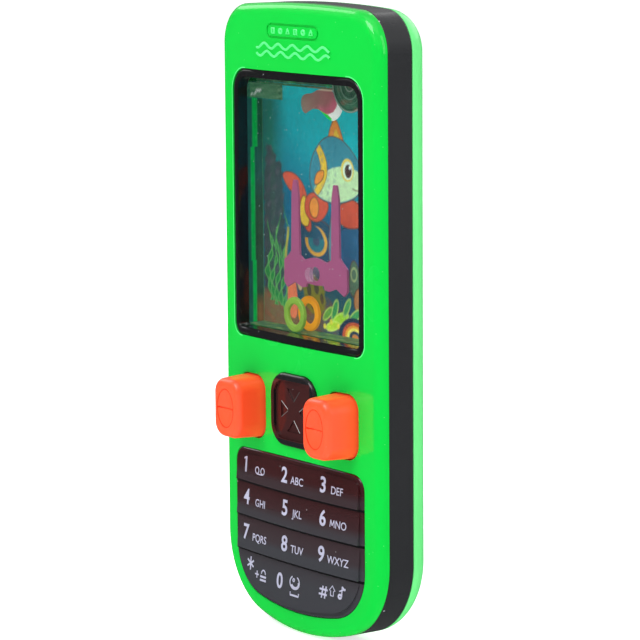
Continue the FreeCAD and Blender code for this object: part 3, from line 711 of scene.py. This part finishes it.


# tank surroundings seen through its clear walls: painted sheets with their light and shade painted in, glowing by
# themselves

surroundSettings = {
    "wall": {"x": -24.70, "front": -12.0, "rear": -2.6, "foot": -3.1, "top": 51.0},
    # flat panels: along two axes each runs from, to and in so many points; its tones are base, dark and light
    "panels": {
        "ceilingView": {"x": (-25.5, 25.5, 240), "y": -3.3, "z": (51.25, 53.2, 14), "seed": 41, "size": 2.4,
                        "tones": ((74, 120, 86), (50, 84, 62), (104, 150, 112))},
        "footView": {"x": (-24.0, 24.0, 160), "y": -13.36, "z": (-4.6, -3.25, 10), "seed": 42, "size": 5.0,
                     "tones": ((50, 44, 44), (34, 32, 33), (70, 60, 60))},
        "floorView": {"x": (-24.7, 24.7, 200), "y": (-12.0, -2.62, 40), "z": -3.13, "seed": 46, "size": 5.0,
                      "tones": ((50, 98, 70), (28, 64, 48), (122, 138, 74))},
        "cornerBlockView": {"x": (-24.7, -12.2, 90), "y": -8.6, "z": (47.7, 51.0, 30), "seed": 43, "size": 1.4,
                            "tones": ((84, 136, 98), (50, 96, 70), (128, 168, 130)),
                            "paintedGlints": ((-20.9, 49.3, 0.75, 0.4), (-22.8, 48.5, 0.5, 0.3))},
    },
    # end of the filling neck, cut flat at its top; its rings, light and dark, are painted highlights and shade on
    # its ridges, each given as radius, width and colour
    "neck": {"x": 15.0, "y": -11.95, "z": 52.8, "radius": 6.2, "cut": 53.3, "rings": (
        (6.0, 0.18, (170, 176, 168)), (5.5, 0.2, (30, 66, 54)), (3.3, 0.22, (122, 150, 132)),
        (2.7, 0.15, (40, 72, 60)), (1.6, 0.25, (150, 166, 150)), (4.4, 0.12, (104, 140, 118)))},
}


def paintWall(depth, z):
    # depth runs from 0 at the screen to 1 at the card; the wall is painted with the card's rocks and sea bed as
    # it mirrors them, a painted reflection, and with a green stripe where the case shows through, its light edge
    # a painted highlight
    c = np.array(tone(44, 96, 92)) * np.ones(depth.shape + (3,))
    c = lay(c, np.clip((depth - 0.45) * 2.4, 0, 1) * np.clip((z - 30) / 12, 0, 1), (4, 88, 60))
    c = lay(c, np.clip((32 - z) / 10, 0, 1) * np.clip((depth - 0.35) * 3, 0, 1), (56, 84, 68))
    c = lay(c, np.clip((3.5 - z) / 3, 0, 1) * np.clip((depth - 0.5) * 4, 0, 1), (128, 92, 62))
    c = c * (1 + 0.10 * swirl(depth * 4, z, 31, 7.0))[..., None]
    high = (z > 36.4) & (z < 48.2)
    middle = (z > 10.8) & (z < 36.4)
    start = np.where(high, 0.47, np.where(middle, 0.37, 0.44))
    stop = np.where(high, 0.72, np.where(middle, 0.57, 0.62))
    edge = np.maximum(start - depth, depth - stop)
    c = lay(c, softMask(edge, 0.05) * (z < 48.2), (14, 186, 84))
    c = lay(c, 0.5 * softMask(np.abs(edge + 0.02) - 0.015, 0.02) * (z < 48.2), (60, 210, 116))
    return np.clip(c, 0.002, 1)


def makeWall(s, ink):
    # the tank's left wall: a grid over depth and height, painted with what it mirrors and shows through
    d, z = np.meshgrid(np.linspace(0, 1, 60), np.linspace(s["foot"], s["top"], 240))
    y = s["front"] + d * (s["rear"] - s["front"])
    verts = np.stack([np.full_like(d, s["x"]), y, z], -1).reshape(-1, 3)
    finishPiece("leftWallView", verts, gridFaces(*d.shape), ink, colours=paintWall(d, z).reshape(-1, 3))


def makePanel(name, s, ink):
    # a flat grid in three tones of one mottling, with bright ovals as painted glints where they are given
    second = "y" if isinstance(s["y"], tuple) else "z"
    grid = dict(zip(("x", second), np.meshgrid(np.linspace(*s["x"]), np.linspace(*s[second]))))
    x = grid["x"]
    y, z = (grid[k] if k in grid else np.full_like(x, s[k]) for k in "yz")
    m = swirl(x, z + y, s["seed"], s["size"])
    base, dark, light = s["tones"]
    c = np.asarray(tone(*base)) * np.ones(x.shape + (3,))
    c = lay(c, 0.8 * np.clip(m - 0.2, 0, 1), light)
    c = lay(c, 0.8 * np.clip(-m - 0.2, 0, 1), dark)
    for cx, cz, rx, rz in s.get("paintedGlints", ()):
        c = lay(c, ovalMask(x, z, cx, cz, rx, rz, 30, 0.15), (255, 255, 250))
    verts = np.stack([x, y, z], -1).reshape(-1, 3)
    finishPiece(name, verts, gridFaces(*x.shape), ink, colours=c.reshape(-1, 3))


def makeNeck(s, ink):
    # a disc of concentric rings, painted highlights and shade on the neck's ridges: a grid over radius and angle
    r, a = np.meshgrid(np.linspace(0.0, s["radius"], 46), np.linspace(0, 2 * np.pi, 97), indexing="ij")
    x, z = s["x"] + r * np.cos(a), s["z"] + r * np.sin(a)
    c = np.asarray(tone(64, 104, 80)) * np.ones(r.shape + (3,))
    c = lay(c, 0.7 * np.clip(swirl(x, z, 44, 2.0), 0, 1), (42, 76, 60))
    c = lay(c, 0.6 * np.clip(swirl(x, z, 45, 2.6) - 0.3, 0, 1), (150, 92, 78))
    for radius, width, colour in s["rings"]:
        c = lay(c, softMask(np.abs(r - radius) - width / 2, 0.1), colour)
    verts = np.stack([x, np.full_like(x, s["y"]), np.clip(z, None, s["cut"])], -1).reshape(-1, 3)
    finishPiece("neckView", verts, gridFaces(*r.shape), ink, colours=c.reshape(-1, 3))


def makeSurround(s):
    # the paint glows at 0.45 of its colour: painted light inside the dim tank
    ink = paintMaterial("throughPlastic", 0.35, 0.45, 500.0)
    makeWall(s["wall"], ink)
    for name, panel in s["panels"].items():
        makePanel(name, panel, ink)
    makeNeck(s["neck"], ink)


makeSurround(surroundSettings)
print("tank surroundings made")


# air bubble and specks in the water

bubbleSettings = {
    "y": -8.2,
    "outline": [(-5.6, 48.6), (-5.4, 46.0), (-3.8, 45.0), (-2.4, 46.2), (0.6, 46.6), (2.6, 45.6), (4.8, 44.2),
                (7.0, 44.2), (9.4, 46.0), (10.0, 48.0), (7.6, 51.0), (1.2, 51.0), (-1.4, 49.7), (-3.8, 49.6)],
    "bulge": 1.0,
}


def makeBubble(s):
    # rings of points shrink from the outline to its middle; the face swells forwards as the square root of
    # how far in they are
    outline = curvedShape(s["outline"], 10)
    middle = outline.mean(0)
    k = np.linspace(0, 1, 26)[:, None, None]
    xz = middle + (outline[None] - middle) * (1 - k)
    xz = np.concatenate([xz, xz[:, :1]], 1)
    x, z = xz[..., 0], xz[..., 1]
    y = s["y"] - s["bulge"] * np.sqrt(np.clip(k[..., 0], 0, 1)) * np.ones_like(x)
    # the bubble's colours are painted light: the view bent through the air pocket in pinkish brown, a white
    # crescent and a cream line along its top as painted highlights, and a green wedge of refracted case; its
    # paint glows by itself
    t = np.clip((x + 6.5) / 11, 0, 1)[..., None]
    c = np.array(tone(150, 132, 116)) * (1 - t) + np.array(tone(164, 104, 104)) * t
    low = curvedShape([(6.4, 51), (6.6, 48.6), (4.4, 46.9), (0.8, 47.0), (1.0, 44), (10, 44), (11, 51)])
    crescent = [(4.7, 45.5), (6.8, 46.2), (7.7, 47.1), (8.3, 48.4), (9.6, 49.2), (11, 46), (9, 43), (5.4, 43.4),
                (6.0, 44.7)]
    wedge = [(1.0, 46.5), (4.7, 45.5), (6.0, 44.7), (5.6, 43.4), (0.4, 44.0)]
    for shape, blur, share, colour in ((low, 0.8, 0.85, (196, 96, 118)), (crescent, 0.15, 1.0, (246, 244, 238)),
                                       (wedge, 0.15, 1.0, (22, 226, 84))):
        c = lay(c, share * softMask(shapeDistance(x, z, shape), blur), colour)
    rimHighlight = softMask(50.62 - z, 0.15) * (x > 0.5) * (x < 7.6)
    c = lay(c, 0.8 * rimHighlight, (226, 208, 176))
    verts = np.stack([x, y, z], -1).reshape(-1, 3)
    skin = paintMaterial("bubbleSkin", 0.3, 0.5, 300.0)
    finishPiece("airBubble", verts, gridFaces(*x.shape, flip=True), skin, colours=c.reshape(-1, 3))


speckSettings = {"count": 170, "seed": 12, "size": (0.07, 0.2), "x": (-22.0, 22.0), "y": (-11.92, -11.68),
                 "z": (8.0, 48.0)}


def makeSpecks(s):
    # floating dust: tiny octahedra at seeded places
    rng = np.random.default_rng(s["seed"])
    places = np.stack([rng.uniform(*s[k], s["count"]) for k in ("x", "y", "z")], -1)
    size = s["size"][0] + (s["size"][1] - s["size"][0]) * rng.random(s["count"]) ** 4
    tips = np.array([(1, 0, 0), (-1, 0, 0), (0, 1, 0), (0, -1, 0), (0, 0, 1), (0, 0, -1)], float)
    verts = (places[:, None] + tips[None] * size[:, None, None]).reshape(-1, 3)
    one = np.array([(0, 2, 4), (2, 1, 4), (1, 3, 4), (3, 0, 4), (2, 0, 5), (1, 2, 5), (3, 1, 5), (0, 3, 5)])
    faces = (one[None] + 6 * np.arange(s["count"])[:, None, None]).reshape(-1, 3)
    finishPiece("waterSpecks", verts, faces, plastic("speckWhite", (0.55, 0.72, 0.70), roughness=0.3))


makeBubble(bubbleSettings)
makeSpecks(speckSettings)
print("bubble and specks made")


# key legends

legendSettings = {
    # the four rows of keys, then the signs on them
    "tops": (-31.4, -38.45, -46.3, -54.15), "heights": (7.05, 7.85, 7.85, 7.85), "gap": 0.45,
    "rise": 0.95, "tilt": 5.0, "digitHeight": 3.45, "letterHeight": 1.75, "letterDrop": 0.8,
    # per row: height of the digits' middle, then pairs of digit and its place, then of letters and theirs
    "rows": (
        (-34.0, (("1", -18.8), ("2", -3.2), ("3", 11.0)), (("ABC", 1.6), ("DEF", 15.8))),
        (-41.4, (("4", -18.7), ("5", -3.2), ("6", 10.7)), (("GHI", -13.0), ("JKL", 1.5), ("NO", 17.0))),
        (-49.5, (("7", -19.2), ("8", -3.5), ("9", 10.1)), (("PQRS", -13.5), ("TUV", 1.3), ("WXYZ", 15.9))),
        (-58.2, (("0", -5.35),), ()),
    ),
}


def rowSurface(s, row):
    # the bowed surface of one keypad row, tilted so that it deepens upwards
    foot = s["tops"][row] - s["heights"][row] + s["gap"]
    a = math.radians(s["tilt"])
    base = faceSettings["crest"] - s["rise"]
    return lambda x, z: base + (crownY(x, -s["rise"]) - base) / math.cos(a) + math.tan(a) * (z - foot)


capHeight = 0.72      # of the built-in font at size one


def textMesh(body, height, x, z, surface, weight=0.022, lift=0.05):
    # letters drawn flat, made a mesh, then laid just off the surface
    curve = bpy.data.curves.new("legend", "FONT")
    curve.body = body
    curve.align_x = "CENTER"
    curve.size = 1.0
    curve.offset = weight
    curve.resolution_u = 5
    holder = bpy.data.objects.new("legend", curve)
    bpy.context.scene.collection.objects.link(holder)
    bpy.context.view_layer.update()
    mesh = bpy.data.meshes.new_from_object(holder.evaluated_get(bpy.context.evaluated_depsgraph_get()))
    points = np.empty(len(mesh.vertices) * 3)
    mesh.vertices.foreach_get("co", points)
    points = points.reshape(-1, 3)
    faces = [list(p.vertices) for p in mesh.polygons]
    bpy.data.objects.remove(holder)
    bpy.data.curves.remove(curve)
    bpy.data.meshes.remove(mesh)
    scale = height / capHeight
    px, pz = x + points[:, 0] * scale, z + (points[:, 1] - capHeight / 2) * scale
    return np.c_[px, surface(px, pz) - lift, pz], faces


def joinLists(parts):
    # several meshes as one list of points and one of faces
    verts, faces, offset = [], [], 0
    for v, f in parts:
        verts.append(v)
        faces.extend([[int(i) + offset for i in face] for face in f])
        offset += len(v)
    return np.concatenate(verts), faces


def ringPoints(cx, cz, rx, rz, start=0, stop=360, count=20):
    a = np.radians(np.linspace(start, stop, count))
    return np.c_[cx + rx * np.cos(a), cz + rz * np.sin(a)]


def makeLegends(s):
    parts = []
    for row, (middle, digits, groups) in enumerate(s["rows"]):
        surface = rowSurface(s, row)
        for digit, x in digits:
            parts.append(textMesh(digit, s["digitHeight"], x, middle, surface))
        for letters, x in groups:
            parts.append(textMesh(letters, s["letterHeight"], x, middle - s["letterDrop"], surface, 0.008))
    first, second, last = (rowSurface(s, row) for row in (0, 1, 3))
    # flag of the 1, a pair of reels, the M, a star, a plus sign and a padlock
    lines = [([(-19.7, -32.9), (-18.9, -32.5)], 0.5, first), ([(-14.1, -35.6), (-11.9, -35.6)], 0.34, first)]
    lines += [(ringPoints(x, -34.8, 0.72, 0.72), 0.34, first) for x in (-14.1, -11.9)]
    strokes = [(13.3, -43.0), (13.5, -41.45), (14.05, -42.7), (14.6, -41.45), (14.8, -43.0)]
    lines += [(strokes[k:k + 2], 0.3, second) for k in range(4)]
    for a in (math.pi / 2, math.pi / 6, -math.pi / 6):
        dx, dz = 1.5 * math.cos(a), 1.5 * math.sin(a)
        lines.append(([(-17.5 + dx, -56.6 + dz), (-17.5 - dx, -56.6 - dz)], 0.55, last))
    lines += [([(-15.4, -58.6), (-13.8, -58.6)], 0.4, last), ([(-14.6, -57.8), (-14.6, -59.4)], 0.4, last),
              (ringPoints(-12.0, -58.2, 0.8, 0.9, 0, 180), 0.4, last),
              ([(-13.2, -58.8), (-10.8, -58.8)], 0.62, last), ([(-13.2, -59.6), (-10.8, -59.6)], 0.62, last)]
    # a crescent with a dot, and an open bracket
    lines += [(ringPoints(0.3, -57.8, 1.75, 1.45, 120, 420), 0.42, last),
              (ringPoints(0.5, -58.0, 1.35, 1.05, 200, 380), 0.85, last),
              (ringPoints(-0.1, -57.3, 0.3, 0.3), 0.4, last),
              ([(-1.1, -60.0), (-1.1, -60.7), (2.0, -60.7), (2.0, -60.0)], 0.55, last)]
    # crossed lines, an arrow outline and a note
    lines += [([(10.2, -59.3), (10.6, -56.6)], 0.55, last), ([(11.3, -59.3), (11.7, -56.6)], 0.55, last),
              ([(9.5, -57.4), (12.3, -57.4)], 0.55, last), ([(9.3, -58.5), (12.1, -58.5)], 0.55, last)]
    arrow = np.array([(13.3, -58.3), (13.3, -57.2), (12.8, -57.2), (13.8, -56.1), (14.8, -57.2), (14.3, -57.2),
                      (14.3, -58.3)])
    lines += [(np.concatenate([arrow, arrow[:1]]), 0.32, last)]
    lines += [(ringPoints(16.5, -58.0, 0.5, 0.4), 0.62, last), ([(17.1, -58.0), (17.1, -55.7)], 0.42, last),
              ([(17.1, -55.8), (18.2, -56.5)], 0.5, last), ([(16.2, -56.9), (18.3, -56.1)], 0.36, last)]
    parts += [strokeMesh(points, width, 0.05, surface) for points, width, surface in lines]
    verts, faces = joinLists(parts)
    finishPiece("keyLegends", verts, faces, legendInk, smooth=False)


makeLegends(legendSettings)
print("legends made")


# raised marks and edges on the case, some of them painted highlights and shade

markSettings = {
    "wave": {"z": (58.3, 60.0), "half": 13.5, "height": 0.55, "length": 5.4, "width": 0.6, "lift": 0.28},
    "ear": {"z": 63.4, "pitch": 2.8, "count": 6, "width": 0.45, "lift": 0.22},
}


def front(x, z):
    return crownY(x)


def makeMarks(s):
    # two wave lines under the earpiece, and six small marks inside it, in a lighter green that is painted
    # highlight
    wave, ear, parts = s["wave"], s["ear"], []
    for k, middle in enumerate(wave["z"]):
        x = np.linspace(-wave["half"], wave["half"], 120)
        z = middle + wave["height"] * np.sin(2 * np.pi * x / wave["length"] + k * 1.2)
        parts.append(strokeMesh(np.c_[x, z], wave["width"], wave["lift"], front))
    for k in range(ear["count"]):
        x = (k - (ear["count"] - 1) / 2) * ear["pitch"]
        if k % 3 == 0:
            points = [(x - 0.45, ear["z"] - 0.55), (x + 0.45, ear["z"] - 0.55), (x + 0.45, ear["z"] + 0.55),
                      (x - 0.45, ear["z"] + 0.55)]
        elif k % 3 == 1:
            points = ringPoints(x, ear["z"], 0.5, 0.5)[:-1]
        else:
            points = [(x - 0.55, ear["z"] - 0.5), (x + 0.55, ear["z"] - 0.5), (x, ear["z"] + 0.6)]
        parts.append(strokeMesh(points, ear["width"], ear["lift"], front, closed=True))
    verts, faces = joinLists(parts)
    finishPiece("caseMarks", verts, faces, highlightGreen)


def makeEdges():
    # a light green bead round the window opening, a painted highlight on its rounded edge, and a rounded black
    # bead, half a circle in section, on the bezel
    opening = roundedLoop(-24.25, 24.25, -5.2, 54.75, 2.9, 5.1)
    verts, faces = strokeMesh(opening, 0.3, 0.03, front, closed=True)
    finishPiece("openingHighlight", verts, faces, highlightGreen)
    bead = roundedLoop(-23.1, 23.1, -4.05, 53.6, 2.0, 4.0, 18)
    a = np.radians(np.linspace(0, 180, 13))
    across, lift = 0.72 * np.cos(a), 0.34 * np.sin(a) - 0.06
    verts, faces = carryProfile(bead, across, lift, lambda x, z: crownY(x, 0.25), closed=True)
    finishPiece("bezelBead", verts, faces[:, ::-1], bezelBlack)


padHighlightSettings = {
    "middle": -19.5, "proud": 0.3, "tip": 2.0, "base": 4.6, "width": 0.2,
    # turn of the pit in degrees, its half width, which side, and how bright its painted highlight is
    "lines": ((0, 2.5, 1, 70), (270, 1.95, 1, 165), (270, 1.95, -1, 95), (180, 2.5, -1, 175),
              (90, 1.95, -1, 120)),
}


def makePadHighlights(s):
    # painted highlights: light lines on the edges of the arrow pits, brighter on some than on others, where light
    # would gather
    lines, shades = [], []
    for turn, half, side, bright in s["lines"]:
        a = math.radians(turn)
        ends = [(side * 0.15, s["tip"] + 0.1), (side * half * 0.92, s["base"])]
        p = [(x * math.cos(a) + z * math.sin(a), s["middle"] - x * math.sin(a) + z * math.cos(a))
             for x, z in ends]
        line = strokeMesh(np.linspace(*p, 8), s["width"], 0.04, lambda x, z: crownY(x, -s["proud"]))
        lines.append(line)
        shades.append(np.tile(tone(bright, bright, bright), (len(line[0]), 1)))
    verts, faces = joinLists(lines)
    finishPiece("padHighlightStrokes", verts, faces, paintMaterial("paintedStrokeHighlight", 0.2, 0.1, 900.0),
                colours=np.concatenate(shades))


dishSettings = {"x": 16.8, "z": -20.45, "y": -23.9, "halfWidth": 3.05, "halfHeight": 4.3, "width": 0.34,
                "dish": (3.1, 4.8, 0.55), "tone": (226, 56, 28)}


def makeDishShade(s):
    # painted shade: a darker oval line in the crease round the dish in each button's face, its paint glowing a
    # little
    ink = paintMaterial("dishCreaseShade", 0.3, 0.2, 900.0)
    wide, high, deep = s["dish"]
    for sign, side in ((-1, "left"), (1, "right")):
        middle = sign * s["x"]
        a = np.linspace(0, 2 * np.pi, 48, endpoint=False)
        points = np.c_[middle + s["halfWidth"] * np.cos(a), s["z"] + s["halfHeight"] * np.sin(a)]

        def bowl(x, z):
            return s["y"] + deep * np.clip(1 - ((x - middle) / wide) ** 2 - ((z - s["z"]) / high) ** 2, 0, 1)

        verts, faces = strokeMesh(points, s["width"], 0.05, bowl, closed=True)
        finishPiece(side + "DishCreaseShade", verts, faces, ink, body=side + "_button",
                    colours=np.tile(tone(*s["tone"]), (len(verts), 1)))


makeMarks(markSettings)
makeDishShade(dishSettings)
makeEdges()
makePadHighlights(padHighlightSettings)
print("marks, edges and strokes made")
